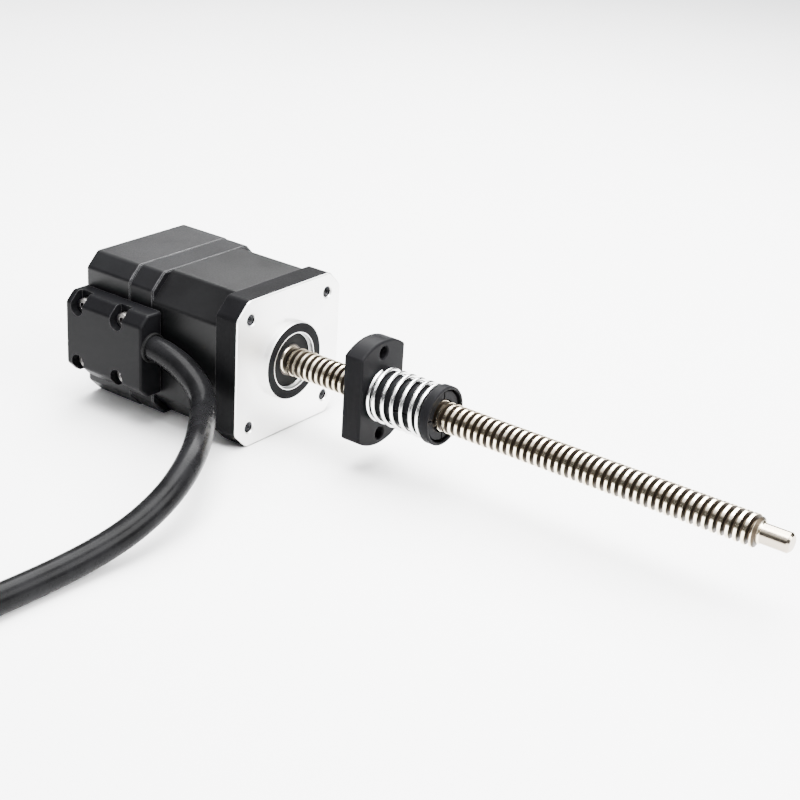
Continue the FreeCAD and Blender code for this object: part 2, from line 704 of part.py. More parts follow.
def box_screw(x, z):
    top_y = -26.9

    def at_top(edge):
        return abs(edge.BoundBox.YMin - top_y) < 1e-4 and abs(edge.BoundBox.YMax - top_y) < 1e-4

    screw = cyl_y(2.05, top_y, BOX_BORE_Y - FACE_GAP, x, z)
    screw = soften(screw, [edge for edge in screw.Edges if at_top(edge)], 0.3)
    rim = [Vec(a, top_y - 0.1, b) for a, b in hexagon(1.0, x, z)]
    socket = Part.Face(Part.makePolygon(rim + [rim[0]])).extrude(Vec(0, 1.1, 0))
    return screw.cut(socket).fuse(cyl_y(SMALL_HOLE_R - GAP, -24.9, -17.7, x, z))


def cable_grommet():
    sleeve_r, lip_r, bore, lip_x = 3.86, 4.15, CABLE_R + 0.02, -26.5

    def sleeve(outer_r, x0, x1):
        return ring(outer_r, bore, x0, x1, CABLE_Y, CABLE_Z)

    grommet = sleeve(sleeve_r, -30.5, BOX_X1).fuse(sleeve(lip_r, BOX_X1 + GAP, lip_x))
    # a short sleeve bridges the gap between the two
    grommet = grommet.fuse(sleeve(sleeve_r, BOX_X1 - 0.5, -27.0))
    grommet = soften(grommet, edges_at_x(grommet, lip_x), 0.2)
    # flat on the side towards the motor
    return grommet.cut(box(-31, -26, -HALF - 0.03, -20, -3, 8))


save("cable_box", cable_box())
save("box_gasket", box_gasket())
save("box_screws", Part.makeCompound([box_screw(x, z) for x, z in BOX_SCREWS]))
save("cable_grommet", cable_grommet())

# ---------------------------------------------------------------- cable
# x, y, z of the cubic spline poles, from the box's front face outwards
CABLE_POLES = [
    (BOX_X1, CABLE_Y, CABLE_Z),
    (-19.65, CABLE_Y, CABLE_Z),
    (-8.76, -23.81, -3.68),
    (-3.02, -30.27, -8.19),
    (7.27, -42.04, -6.30),
    (17.96, -56.29, -5.57),
    (21.71, -72.83, -12.97),
    (18.78, -94.39, -18.35),
    (17.53, -123.81, -17.30),
]

# x, y, z of the coil leads' path, from the windings to the connector
COIL_LEAD_PATH = [
    (-35.3, 0, -16.4), (-38, 0, -16.4), (-42, 0, -16.4), (-46, 0, -16.4), (-49.5, 0, -16.35),
    (-51.8, -0.8, -15.3), (-52.6, -2.8, -12.6), (-52.6, -5.6, -8.2), (-52.6, -8.4, -4.4),
    (-52.6, -11.95, -2.6),
]


def jacket_path():
    """Points of the jacket's centre line, and the direction at its free end."""
    spans = len(CABLE_POLES) - 3
    spine = Part.BSplineCurve()
    spine.buildFromPolesMultsKnots([Vec(*p) for p in CABLE_POLES], [4] + [1] * (spans - 1) + [4],
                                   [i / spans for i in range(spans + 1)], False, 3)
    points = [Vec(x, CABLE_Y, CABLE_Z) for x in (-31.5, -30.1, -28.7)]
    points += [spine.value(i / 28.0) for i in range(29)]
    end_direction = spine.tangent(1.0)[0]
    end_direction.normalize()
    return points, end_direction


def cable_jacket(points, end_direction):
    bore_points = [points[0] - AXIS] + points + [points[-1] + end_direction]
    return pipe(points, CABLE_R).cut(pipe(bore_points, CABLE_BORE))


def cable_cores(points, end_direction):
    """Seven cores: from the connector, round the box's bend, through the jacket and out."""
    start_x, bend_r = -52.3, 4.0
    bend_x, bend_y = start_x + bend_r, CABLE_Y + bend_r
    path = [Vec(start_x, y, CABLE_Z) for y in (-18.2, -19.6, bend_y)]
    for k in range(1, 6):
        across, along = polar(bend_r, 15.0 * k)
        path.append(Vec(bend_x - across, bend_y - along, CABLE_Z))
    path += [Vec(x, CABLE_Y, CABLE_Z) for x in (bend_x, -45, -41, -37, -34)]
    path += points
    path += [points[-1] + end_direction * d for d in (3.0, 6.0, 9.0)]
    return Part.makeCompound(rods(path, [(0, 0)] + hexagon(1.75), CORE_R))


def coil_leads():
    offsets = [polar(0.68, 45 + 90 * k) for k in range(4)]
    return Part.makeCompound(rods([Vec(*p) for p in COIL_LEAD_PATH], offsets, 0.45))


jacket_points, jacket_end = jacket_path()
save("cable_jacket", cable_jacket(jacket_points, jacket_end))
save("cable_cores", cable_cores(jacket_points, jacket_end))
save("coil_leads", coil_leads())

# ---------------------------------------------------------------- anti-backlash nut
NUT_X0 = 26.3
NUT_FLANGE_X1 = NUT_X0 + 6.0
BARREL_END = 52.2
LIP_R, LIP_W = 6.9, 1.0
COLLAR_X0, COLLAR_X1 = 50.2, 52.9


def nut_body():
    flange_r, flat, barrel_r = 14.75, 9.0, 6.3
    hole_r, hole_z = 1.7, 11.45
    mouth_r, mouth_depth = 4.45, 0.9
    slot_x, slot_half = 40, 0.25
    past_x0, past_x1, past_end = NUT_X0 - 1, NUT_FLANGE_X1 + 1, BARREL_END + 1
    lip_x = BARREL_END - LIP_W
    flange = cyl(flange_r, NUT_X0, NUT_FLANGE_X1)
    flange = flange.common(box(past_x0, past_x1, -flat, flat, -20, 20))
    flange = soften(flange, flange.Edges, 0.6)
    barrel = cyl(barrel_r, NUT_FLANGE_X1 - 1, lip_x)
    barrel = barrel.fuse(cone(LIP_R, LIP_R - 0.4, lip_x, BARREL_END))
    nut = flange.fuse(barrel)
    nut = nut.cut(helical_body(3.0, 4.25, past_x0, past_end, clearance=0.12))
    nut = nut.cut(cyl(mouth_r, past_x0, NUT_X0 + mouth_depth))
    nut = nut.cut(cyl(mouth_r, BARREL_END - mouth_depth, past_end))
    for z in (-hole_z, hole_z):
        nut = nut.cut(cyl(hole_r, past_x0, past_x1, 0, z))
        nut = nut.cut(cone(hole_r, hole_r + 0.35, NUT_FLANGE_X1 - 0.3, NUT_FLANGE_X1 + 0.05, 0, z))
    # crossing slots split the barrel's end into four springy fingers
    nut = nut.cut(box(slot_x, past_end, -slot_half, slot_half, -8, 8))
    return nut.cut(box(slot_x, past_end, -8, 8, -slot_half, slot_half))


def nut_collar():
    collar = ring(8.0, 6.42, COLLAR_X0, COLLAR_X1)
    collar = collar.cut(cyl(LIP_R + 0.15, BARREL_END - LIP_W - FACE_GAP, COLLAR_X1 + 1))
    edges = edges_at_x(collar, COLLAR_X1)
    edges += edges_at_x(collar, COLLAR_X0, lambda edge: edge.BoundBox.ZMax > 7.5)
    return soften(collar, edges, 0.35)


def antibacklash_spring():
    """Compression spring between flange and collar, with a closed coil at each end."""
    spring_r, wire_r, start_angle = 7.0, 0.55, 100.0
    closed, closed_pitch, active = 0.9, 1.16, 4.9     # turns at each end, their pitch, the rest
    total = 2 * closed + active
    x_first = NUT_FLANGE_X1 + FACE_GAP + wire_r
    x_last = COLLAR_X0 - FACE_GAP - wire_r
    active_pitch = ((x_last - x_first) - 2 * closed * closed_pitch) / active

    def coil_x(turn):
        if turn <= closed:
            return x_first + closed_pitch * turn
        if turn <= closed + active:
            return x_first + closed_pitch * closed + active_pitch * (turn - closed)
        return x_last - closed_pitch * (total - turn)

    steps = int(total * 14)
    points = []
    for i in range(steps + 1):
        turn = total * i / steps
        # a short average keeps the pitch change smooth
        x = sum(coil_x(min(max(turn + d, 0), total)) for d in (-0.12, -0.06, 0, 0.06, 0.12)) / 5
        points.append(Vec(x, *polar(spring_r, start_angle + 360 * turn)))
    return pipe(points, wire_r)


save("nut_body", nut_body())
save("nut_collar", nut_collar())
save("antibacklash_spring", antibacklash_spring())
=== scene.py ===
# A linear actuator: a motor with a lead screw, nut and flying cable, seen on a white floor.
# The screw lies on the X axis. The mounting face is near x = 0 and looks along +X, the screw
# runs out along +X, and the motor body and cable box lie towards -X. Z is up.
# Mesh sections work in millimetres; materials, lights and the camera work in metres.
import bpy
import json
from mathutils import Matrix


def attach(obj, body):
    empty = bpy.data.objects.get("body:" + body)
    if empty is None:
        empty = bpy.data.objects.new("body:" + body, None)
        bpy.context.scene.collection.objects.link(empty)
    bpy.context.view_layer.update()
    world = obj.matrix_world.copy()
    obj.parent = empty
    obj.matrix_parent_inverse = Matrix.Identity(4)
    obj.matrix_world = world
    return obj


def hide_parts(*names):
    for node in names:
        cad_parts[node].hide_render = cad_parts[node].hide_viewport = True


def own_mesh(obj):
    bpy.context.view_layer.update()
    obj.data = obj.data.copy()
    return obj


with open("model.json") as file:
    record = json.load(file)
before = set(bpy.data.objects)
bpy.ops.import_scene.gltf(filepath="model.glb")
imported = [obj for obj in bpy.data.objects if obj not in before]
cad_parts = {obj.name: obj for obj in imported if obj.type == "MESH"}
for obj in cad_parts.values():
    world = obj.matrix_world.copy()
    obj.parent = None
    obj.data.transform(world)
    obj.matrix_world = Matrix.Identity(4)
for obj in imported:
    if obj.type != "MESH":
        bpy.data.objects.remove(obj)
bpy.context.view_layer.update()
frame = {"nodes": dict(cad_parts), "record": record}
import bpy, math, json
import numpy as np
from mathutils import Matrix, Vector

MM = 0.001

HOLE_OFFSET = 15.5  # mounting holes from the axis, in Y and in Z, mm
HOLE_CENTRES = [(y, z) for y in (-HOLE_OFFSET, HOLE_OFFSET) for z in (-HOLE_OFFSET, HOLE_OFFSET)]


# ---------------------------------------------------------------- material builder (metres)
class Surface:
    """A Principled material with short ways to add procedural detail."""

    def __init__(self, name, base, rough, metal=0.0, specular=0.5):
        self.material = bpy.data.materials.new(name)
        self.material.use_nodes = True
        self.material.diffuse_color = (*base, 1)
        self.tree = self.material.node_tree
        self.shader = self.tree.nodes["Principled BSDF"]
        self.feed(self.shader.inputs["Base Color"], base)
        self.feed(self.shader.inputs["Roughness"], rough)
        self.feed(self.shader.inputs["Metallic"], metal)
        self.feed(self.shader.inputs["Specular IOR Level"], specular)
        self.place = self.add("ShaderNodeTexCoord").outputs["Object"]
        self.axes = None
        self.normal = None

    def add(self, kind, **settings):
        node = self.tree.nodes.new(kind)
        for key, setting in settings.items():
            setattr(node, key, setting)
        return node

    def feed(self, socket, value):
        """Give an input a colour, a number or a link."""
        if isinstance(value, tuple):
            socket.default_value = (*value, 1)
        elif isinstance(value, (int, float)):
            socket.default_value = value
        else:
            self.tree.links.new(value, socket)

    def drive(self, name, value):
        self.feed(self.shader.inputs[name], value)

    def math(self, operation, first, second=None, clamp=False):
        node = self.add("ShaderNodeMath", operation=operation, use_clamp=clamp)
        self.feed(node.inputs[0], first)
        if second is not None:
            self.feed(node.inputs[1], second)
        return node.outputs[0]

    def multiply(self, first, second, clamp=False):
        return self.math("MULTIPLY", first, second, clamp)

    def inverse(self, mask):
        return self.math("SUBTRACT", 1.0, mask)

    def coord(self, axis):
        if self.axes is None:
            self.axes = self.add("ShaderNodeSeparateXYZ")
            self.feed(self.axes.inputs[0], self.place)
        return self.axes.outputs[axis]

    def length(self, y, z):
        return self.math("SQRT", self.math("ADD", self.multiply(y, y), self.multiply(z, z)))

    def radius(self):
        """Distance from the X axis."""
        return self.length(self.coord("Y"), self.coord("Z"))

    def remap(self, value, low, high, start=0.3, end=0.7):
        """Map start..end to low..high; the default range is the bulk of a noise."""
        node = self.add("ShaderNodeMapRange")
        self.feed(node.inputs["Value"], value)
        self.feed(node.inputs["From Min"], start)
        self.feed(node.inputs["From Max"], end)
        self.feed(node.inputs["To Min"], low)
        self.feed(node.inputs["To Max"], high)
        return node.outputs[0]

    def above(self, value, edge, soft, low=0.0, high=1.0):
        """0 to 1 as value passes edge, softened by soft on each side."""
        mask = self.remap(value, low, high, edge - soft, edge + soft)
        mask.node.interpolation_type = "SMOOTHSTEP"
        return mask

    def below(self, value, edge, soft):
        return self.above(value, edge, soft, low=1.0, high=0.0)

    def noise(self, scale, detail, stretch=None):
        node = self.add("ShaderNodeTexNoise")
        node.inputs["Scale"].default_value = scale
        node.inputs["Detail"].default_value = detail
        node.inputs["Roughness"].default_value = 0.55
        source = self.place
        if stretch:
            mapping = self.add("ShaderNodeMapping")
            mapping.inputs["Scale"].default_value = stretch
            self.feed(mapping.inputs["Vector"], source)
            source = mapping.outputs[0]
        self.feed(node.inputs["Vector"], source)
        return node.outputs["Fac"]

    def waves(self, distance, pitch, wobble=None):
        """Sine waves along distance, shifted by the wobble phase."""
        phase = self.multiply(distance, 2 * math.pi / pitch)
        if wobble is not None:
            phase = self.math("ADD", phase, wobble)
        return self.math("SINE", phase)

    def mix(self, factor, first, second):
        node = self.add("ShaderNodeMix", data_type="RGBA")
        for index, value in ((0, factor), (6, first), (7, second)):
            self.feed(node.inputs[index], value)
        return node.outputs[2]

    def mix_value(self, factor, first, second):
        node = self.add("ShaderNodeMix", data_type="FLOAT")
        for index, value in ((0, factor), (2, first), (3, second)):
            self.feed(node.inputs[index], value)
        return node.outputs[0]

    def mottle(self, noise, first, second):
        """Patches of two colours."""
        return self.mix(self.remap(noise, 0, 1), first, second)

    def bump(self, height, distance, strength):
        node = self.add("ShaderNodeBump")
        node.inputs["Distance"].default_value = distance
        node.inputs["Strength"].default_value = strength
        self.feed(node.inputs["Height"], height)
        if self.normal is not None:
            self.feed(node.inputs["Normal"], self.normal)
        self.normal = node.outputs[0]

    def round_edges(self, radius):
        node = self.add("ShaderNodeBevel", samples=4)
        node.inputs["Radius"].default_value = radius
        self.normal = node.outputs[0]

    def edge_mask(self):
        """1 where the rounded normal leaves the true one. Call before any bump."""
        dot = self.add("ShaderNodeVectorMath", operation="DOT_PRODUCT")
        self.feed(dot.inputs[0], self.normal)
        self.feed(dot.inputs[1], self.add("ShaderNodeNewGeometry").outputs["Normal"])
        return self.remap(dot.outputs["Value"], 0.0, 1.0, start=0.985, end=0.90)

    def finish(self):
        if self.normal is not None:
            self.drive("Normal", self.normal)
        return self.material


# ---------------------------------------------------------------- materials (metres)
def tone(color, gain):
    return tuple(min(1.0, channel * gain) for channel in color)


def grained(name, base, rough, metal=0.0, specular=0.5, grain=2500, depth=0.00001, vary=0.25,
            edge=None, patches=60, spread=0.12, stretch=None, radius=0.00015):
    """A mottled, finely grained surface; edge is the colour of its rounded edges, partly wear
    and partly a painted highlight.

    grain and patches are noise scales, depth is the grain's height, vary and spread are how
    far colour and roughness stray, and radius rounds the edges.
    """
    s = Surface(name, base, rough, metal, specular)
    s.round_edges(radius)
    edges = s.edge_mask() if edge else None
    fine = s.noise(grain, detail=5, stretch=stretch)
    large = s.noise(patches, detail=4)
    color = s.mottle(large, tone(base, 1 - vary), tone(base, 1 + vary))
    specks = s.multiply(s.remap(fine, 0, 1, start=0.35, end=0.75), 0.35)
    color = s.mix(specks, color, tone(base, 1 + 2 * vary))
    # edge colour on the rounded edges: patchy wear plus a painted highlight
    if edge:
        patchy = s.remap(s.noise(350, detail=6), 0.25, 1.0, start=0.35, end=0.6)
        color = s.mix(s.multiply(edges, patchy, clamp=True), color, edge)
    s.drive("Base Color", color)
    s.drive("Roughness", s.math("ADD", s.remap(fine, rough - spread / 2, rough + spread / 2),
                                s.remap(large, -spread / 2, spread / 2), clamp=True))
    s.bump(fine, distance=depth, strength=0.8)
    return s


def black_coat(name, specular, edge, radius):
    """Black paint; edge is the grey of its rounded edges, a painted highlight with patchy wear.
    """
    s = grained(name, (0.0030, 0.0030, 0.0034), rough=0.40, specular=specular, grain=2600,
                depth=0.0000012, vary=0.35, edge=(edge, edge, edge * 1.03), patches=45,
                radius=radius)
    s.drive("Coat Roughness", 0.25)  # shows only if Coat Weight is raised from 0
    return s.finish()


def lamination_steel():
    """Coated stack whose sheets show as faint lines across X."""
    sheet = 0.0005
    s = grained("stack_coat", (0.0028, 0.0028, 0.0030), rough=0.38, specular=0.09, grain=2000,
                depth=0.0000003, vary=0.35, edge=(0.06, 0.06, 0.06), patches=50)
    phase = s.multiply(s.coord("X"), 2 * math.pi / sheet)
    arches = s.math("ABSOLUTE", s.math("SINE", s.multiply(phase, 0.5)))
    s.bump(s.math("POWER", arches, 0.25), distance=0.0000012, strength=0.3)
    return s.finish()


def flange_bright_mask(s, x, radius, face):
    """1 on bare metal: the face and the bore, but not the coated ring or the holes."""
    ring = s.multiply(s.above(x, edge=0.00184, soft=0.00003),
                      s.above(radius, edge=0.0082, soft=0.00005))
    ring = s.multiply(ring, s.inverse(s.above(radius, edge=0.01079, soft=0.00003)))
    bore = s.below(radius, edge=0.0081, soft=0.00006)
    bright = s.math("MAXIMUM", s.multiply(face, s.inverse(ring)), bore)
    holes = None
    for y, z in HOLE_CENTRES:
        distance = s.length(s.math("SUBTRACT", s.coord("Y"), y * MM),
                            s.math("SUBTRACT", s.coord("Z"), z * MM))
        hole = s.below(distance, edge=0.00156, soft=0.00003)
        holes = hole if holes is None else s.math("MAXIMUM", holes, hole)
    return s.multiply(bright, s.inverse(s.multiply(holes, 0.75)))


def machined_face():
    """Black coated flange with a turned, bare front face and bore."""
    s = Surface("machined_face", (0.80, 0.795, 0.78), rough=0.3, metal=1.0)
    s.round_edges(0.0002)
    edges = s.edge_mask()
    x, radius = s.coord("X"), s.radius()
    face = s.above(x, edge=-0.00036, soft=0.00003)
    bright = flange_bright_mask(s, x, radius, face)
    fine, large = s.noise(1800, detail=6), s.noise(70, detail=5)

    metal = s.mottle(large, (0.90, 0.895, 0.885), (0.97, 0.965, 0.955))
    specks = s.multiply(s.remap(fine, 0, 1, start=0.45, end=0.8), 0.25)
    metal = s.mix(specks, metal, (0.80, 0.78, 0.75))
    coat = s.mottle(large, (0.0025, 0.0025, 0.0028), (0.005, 0.005, 0.0055))
    # painted highlight: the coat's rounded edges are lightened to grey
    coat = s.mix(s.multiply(edges, 0.6, clamp=True), coat, (0.05, 0.05, 0.05))
    s.drive("Base Color", s.mix(bright, coat, metal))
    s.drive("Metallic", bright)
    both = s.math("ADD", s.multiply(fine, 0.6), s.multiply(large, 0.4))
    s.drive("Roughness", s.mix_value(bright, s.remap(fine, 0.36, 0.46),
                                     s.remap(both, 0.30, 0.42)))
    s.drive("Specular IOR Level", s.mix_value(bright, 0.02, 0.5))

    # turning marks run round the face and stretch its highlights
    turning = s.waves(radius, pitch=0.00011, wobble=s.multiply(s.noise(300, detail=2), 3.0))
    s.bump(s.multiply(turning, face), distance=0.000002, strength=0.5)
    s.bump(fine, distance=0.000005, strength=0.6)
    tangent = s.add("ShaderNodeTangent", direction_type="RADIAL", axis="X")
    s.drive("Tangent", tangent.outputs[0])
    s.drive("Anisotropic", s.multiply(face, 0.75))
    return s.finish()


def screw_steel():
    """Polished crests, thread hollows painted near-black as shade, and a duller +X end."""
    s = Surface("screw_steel", (0.8, 0.77, 0.7), rough=0.25, metal=1.0)
    x = s.coord("X")
    threaded = s.multiply(s.above(x, edge=0.0009, soft=0.0002),
                          s.below(x, edge=0.1418, soft=0.0002))
    deep = s.multiply(threaded, s.below(s.radius(), edge=0.00388, soft=0.00008))
    fine = s.noise(1500, detail=6, stretch=(1, 3, 3))
    large = s.noise(120, detail=4)
    crest = s.mottle(large, (0.88, 0.75, 0.55), (0.97, 0.88, 0.70))
    # painted shade: the thread hollows are coloured near-black
    painted_groove_shade = s.mottle(fine, (0.008, 0.005, 0.003), (0.030, 0.018, 0.010))
    crest = s.mix(s.above(x, edge=0.1423, soft=0.0002), crest, (0.44, 0.38, 0.30))
    s.drive("Base Color", s.mix(s.multiply(deep, 0.96), crest, painted_groove_shade))
    s.drive("Roughness", s.mix_value(deep, s.remap(fine, 0.13, 0.22),
                                     s.remap(fine, 0.42, 0.6)))
    # rolling marks run round the screw
    rolling = s.waves(x, pitch=0.00006, wobble=s.multiply(large, 8.0))
    s.bump(rolling, distance=0.0000012, strength=0.5)
    s.bump(fine, distance=0.000004, strength=0.6)
    return s.finish()


def cable_black():
    s = Surface("cable_black", (0.010, 0.010, 0.011), rough=0.2, specular=0.04)
    fine, large = s.noise(900, detail=5), s.noise(140, detail=3)
    s.drive("Base Color", s.mottle(large, (0.003, 0.003, 0.0032), (0.006, 0.006, 0.0065)))
    s.drive("Roughness", s.math("ADD", s.remap(large, 0.20, 0.28), s.remap(fine, 0.0, 0.06)))
    s.bump(large, distance=0.000005, strength=0.3)
    s.bump(fine, distance=0.000002, strength=0.5)
    return s.finish()


def mix_over(s, mask, color):
    """Lay a colour over the base colour already linked."""
    under = s.shader.inputs["Base Color"].links[0].from_socket
    s.drive("Base Color", s.mix(mask, under, color))


def board_green():
    """Circuit board with a grid of lighter tracks."""
    s = grained("board_green", (0.02, 0.14, 0.055), rough=0.28, grain=900, depth=0.000006,
                vary=0.2)
    grid = s.math("MAXIMUM", s.waves(s.coord("Y"), pitch=0.0016),
                  s.waves(s.coord("Z"), pitch=0.0021))
    mix_over(s, s.multiply(s.math("GREATER_THAN", grid, 0.93), 0.5), (0.06, 0.30, 0.12))
    return s.finish()


def encoder_disc():
    """Dark disc with a band of bright radial slots."""
    slot_count = 120.0
    s = grained("encoder_disc", (0.10, 0.10, 0.11), rough=0.12, metal=0.4, grain=1200,
                depth=0.000002, vary=0.15)
    angle = s.math("ARCTAN2", s.coord("Z"), s.coord("Y"))
    slots = s.math("GREATER_THAN", s.math("SINE", s.multiply(angle, slot_count)), 0.0)
    band = s.multiply(s.above(s.radius(), edge=0.0095, soft=0.0001),
                      s.below(s.radius(), edge=0.0122, soft=0.0001))
    mix_over(s, s.multiply(slots, band), (0.55, 0.57, 0.58))
    return s.finish()


# each edge colour below is a painted highlight on the rounded edges, partly wear
GRAINED_LOOKS = {
    "insulator_nylon": dict(base=(0.70, 0.68, 0.58), rough=0.5, vary=0.12),
    "enamelled_copper": dict(base=(0.50, 0.17, 0.05), rough=0.3, metal=0.85, grain=1800,
                             stretch=(8, 1, 1), depth=0.00003),
    "black_oxide_steel": dict(base=(0.035, 0.035, 0.038), rough=0.38, metal=0.8,
                              edge=(0.2, 0.2, 0.2)),
    "bright_steel": dict(base=(0.72, 0.72, 0.71), rough=0.22, metal=1.0, vary=0.1,
                         depth=0.000004),
    "bearing_steel": dict(base=(0.66, 0.67, 0.68), rough=0.16, metal=1.0, vary=0.08,
                          depth=0.000002, spread=0.08),
    "ball_chrome": dict(base=(0.80, 0.80, 0.82), rough=0.07, metal=1.0, vary=0.05,
                        depth=0.000001, spread=0.04),
    "brass_cage": dict(base=(0.72, 0.50, 0.20), rough=0.3, metal=1.0, vary=0.15),
    "black_rubber": dict(base=(0.006, 0.006, 0.006), rough=0.6, grain=3500, depth=0.000012,
                         vary=0.3, specular=0.05),
    "magnet": dict(base=(0.16, 0.16, 0.17), rough=0.45, metal=0.9, vary=0.2, depth=0.00002),
    "black_plastic": dict(base=(0.004, 0.004, 0.0045), rough=0.42, grain=3800,
                          depth=0.000004, vary=0.3, edge=(0.012, 0.012, 0.0125),
                          radius=0.0003, specular=0.03),
    "white_nylon": dict(base=(0.78, 0.76, 0.70), rough=0.42, vary=0.08),
    "brass": dict(base=(0.75, 0.54, 0.24), rough=0.24, metal=1.0, vary=0.12),
    "spring_steel": dict(base=(0.92, 0.92, 0.91), rough=0.20, metal=1.0, grain=1500,
                         vary=0.06, depth=0.000004, spread=0.08),
    # the near-white edge paints glints on the box screw heads
    "dark_zinc": dict(base=(0.13, 0.125, 0.12), rough=0.36, metal=1.0, vary=0.2,
                      edge=(0.8, 0.8, 0.8)),
    # steel of the front bearing's inner ring, painted near-black as shade
    "dark_ring": dict(base=(0.055, 0.048, 0.042), rough=0.4, metal=1.0, vary=0.15,
                      depth=0.000003, edge=(0.2, 0.19, 0.18)),
    "copper_wire": dict(base=(0.86, 0.45, 0.26), rough=0.25, metal=1.0, vary=0.12,
                        grain=4000),
}
CORE_COLORS = {
    "red": (0.42, 0.02, 0.015),
    "black": (0.012, 0.012, 0.013),
    "green": (0.02, 0.20, 0.05),
    "blue": (0.02, 0.06, 0.35),
    "yellow": (0.60, 0.42, 0.03),
    "white": (0.70, 0.70, 0.68),
    "brown": (0.13, 0.05, 0.02),
}

materials = {
    "machined_aluminium": machined_face(),
    "black_coat": black_coat("black_coat", specular=0.10, edge=0.05, radius=0.00015),
    "lamination_steel": lamination_steel(),
    "screw_steel": screw_steel(),
    "cable_black": cable_black(),
    "board_green": board_green(),
    "disc_film": encoder_disc(),
    # cover_coat and bell_coat: brighter edge grey on wider rounded edges, painted highlights
    # along the cover seam and the bell step
    "cover_coat": black_coat("cover_coat", specular=0.14, edge=0.12, radius=0.0004),
    "bell_coat": black_coat("bell_coat", specular=0.09, edge=0.12, radius=0.0004),
    "box_coat": black_coat("box_coat", specular=0.045, edge=0.05, radius=0.0003),
}
for name, look in GRAINED_LOOKS.items():
    materials[name] = grained(name, **look).finish()
core_materials = [grained("core_" + name, color, rough=0.3, vary=0.12, grain=2200,
                          depth=0.000004, spread=0.08).finish()
                  for name, color in CORE_COLORS.items()]
materials["core_insulation"] = core_materials[0]

# ---------------------------------------------------------------- looks of the CAD pieces
# Pieces that don't take the material of their slot.
NODE_MATERIALS = {
    "front_flange": "machined_aluminium",
    "box_screws": "dark_zinc",
    "encoder_cover": "cover_coat",
    "rear_bell": "bell_coat",
    "cable_box": "box_coat",
    # painted shade: the front bearing's inner ring takes the darkened steel look
    "front_bearing_inner": "dark_ring",
    "encoder_hub": "bright_steel",
}


def smooth_by_angle(mesh, degrees):
    mesh.shade_smooth()
    mesh.set_sharp_from_angle(angle=math.radians(degrees))


for name, node in frame["nodes"].items():
    slot = next(part["material_slot"] for part in frame["record"]["subparts"]
                if part["node"] == name)
    node.data.materials.clear()
    node.data.materials.append(materials[NODE_MATERIALS.get(name, slot)])
    smooth_by_angle(node.data, 32)


# ---------------------------------------------------------------- mesh helpers (millimetres)
def add_object(name, data):
    obj = bpy.data.objects.new(name, data)
    bpy.context.scene.collection.objects.link(obj)
    return obj


def add_part(name, verts, faces, looks, body, replaces=None, face_looks=None):
    """Make a piece from millimetre vertices; face_looks picks from looks for each face."""
    mesh = bpy.data.meshes.new(name)
    mesh.from_pydata((np.asarray(verts, float) * MM).tolist(), [], faces)
    mesh.validate()
    for look in looks:
        mesh.materials.append(look)
    if face_looks is not None:
        mesh.polygons.foreach_set("material_index", np.asarray(face_looks, np.int32))
    mesh.update()
    smooth_by_angle(mesh, 35)
    obj = add_object(name, mesh)
    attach(obj, body)
    if replaces:
        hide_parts(replaces)
    return obj


def path_frames(path):
    """Tangents and two cross directions carried along the path without twist."""
    tangents = np.gradient(path, axis=0)
    tangents /= np.linalg.norm(tangents, axis=1)[:, None]
    normals = np.zeros_like(path)
    normal = np.array([0, 0, 1.0]) if abs(tangents[0, 2]) < 0.8 else np.array([0, 1.0, 0])
    for i, tangent in enumerate(tangents):
        normal = normal - tangent * normal.dot(tangent)
        normal /= np.linalg.norm(normal)
        normals[i] = normal
    return tangents, normals, np.cross(tangents, normals)


def ring_faces(rings, seg):
    """Quads between successive rings of seg vertices."""
    return [(i * seg + j, i * seg + (j + 1) % seg, (i + 1) * seg + (j + 1) % seg,
             (i + 1) * seg + j) for i in range(rings - 1) for j in range(seg)]


def end_caps(rings, seg):
    return [tuple(range(seg - 1, -1, -1)), tuple((rings - 1) * seg + j for j in range(seg))]


def tube(path, radius, seg, bore=0.0, offset=(0, 0), frames=None):
    """Closed tube along a path. With a bore radius it is a pipe."""
    path = np.asarray(path, float)
    _, normals, sides = frames or path_frames(path)
    centres = path + normals * offset[0] + sides * offset[1]
    rings = len(path)
    angles = np.linspace(0, 2 * math.pi, seg, endpoint=False)
    spokes = (np.cos(angles)[None, :, None] * normals[:, None]
              + np.sin(angles)[None, :, None] * sides[:, None])

    def skin(radii):
        radii = np.broadcast_to(radii, rings)
        return (centres[:, None] + radii[:, None, None] * spokes).reshape(-1, 3)

    verts = skin(radius)
    faces = ring_faces(rings, seg)
    if not bore:
        return verts, faces + end_caps(rings, seg)
    verts = np.vstack([verts, skin(bore)])
    inner = rings * seg
    faces += [(inner + a, inner + d, inner + c, inner + b) for a, b, c, d in faces]
    for start, turn in ((0, 1), ((rings - 1) * seg, -1)):
        for j in range(seg):
            here, after = start + j, start + (j + 1) % seg
            faces.append((here, inner + here, inner + after, after)[::turn])
    return verts, faces


def join(parts):
    all_verts, all_faces, count = [], [], 0
    for verts, faces in parts:
        all_verts.append(np.asarray(verts, float))
        all_faces += [tuple(i + count for i in face) for face in faces]
        count += len(verts)
    return np.vstack(all_verts), all_faces


def bspline(poles, count):
    """Points on a clamped cubic B-spline, by de Boor's method."""
    degree = 3
    poles = np.asarray(poles, float)
    knots = np.r_[[0] * degree, np.linspace(0, 1, len(poles) - degree + 1), [1] * degree]
    points = []
    for t in np.linspace(0, 1, count):
        span = np.searchsorted(knots, t, side="right") - 1
        span = min(max(span, degree), len(poles) - 1)
        local = list(poles[span - degree:span + 1])
        for level in range(1, degree + 1):
            for j in range(degree, level - 1, -1):
                i = span - degree + j
                share = (t - knots[i]) / (knots[i + degree - level + 1] - knots[i])
                local[j] = (1 - share) * local[j - 1] + share * local[j]
        points.append(local[degree])
    return np.array(points)


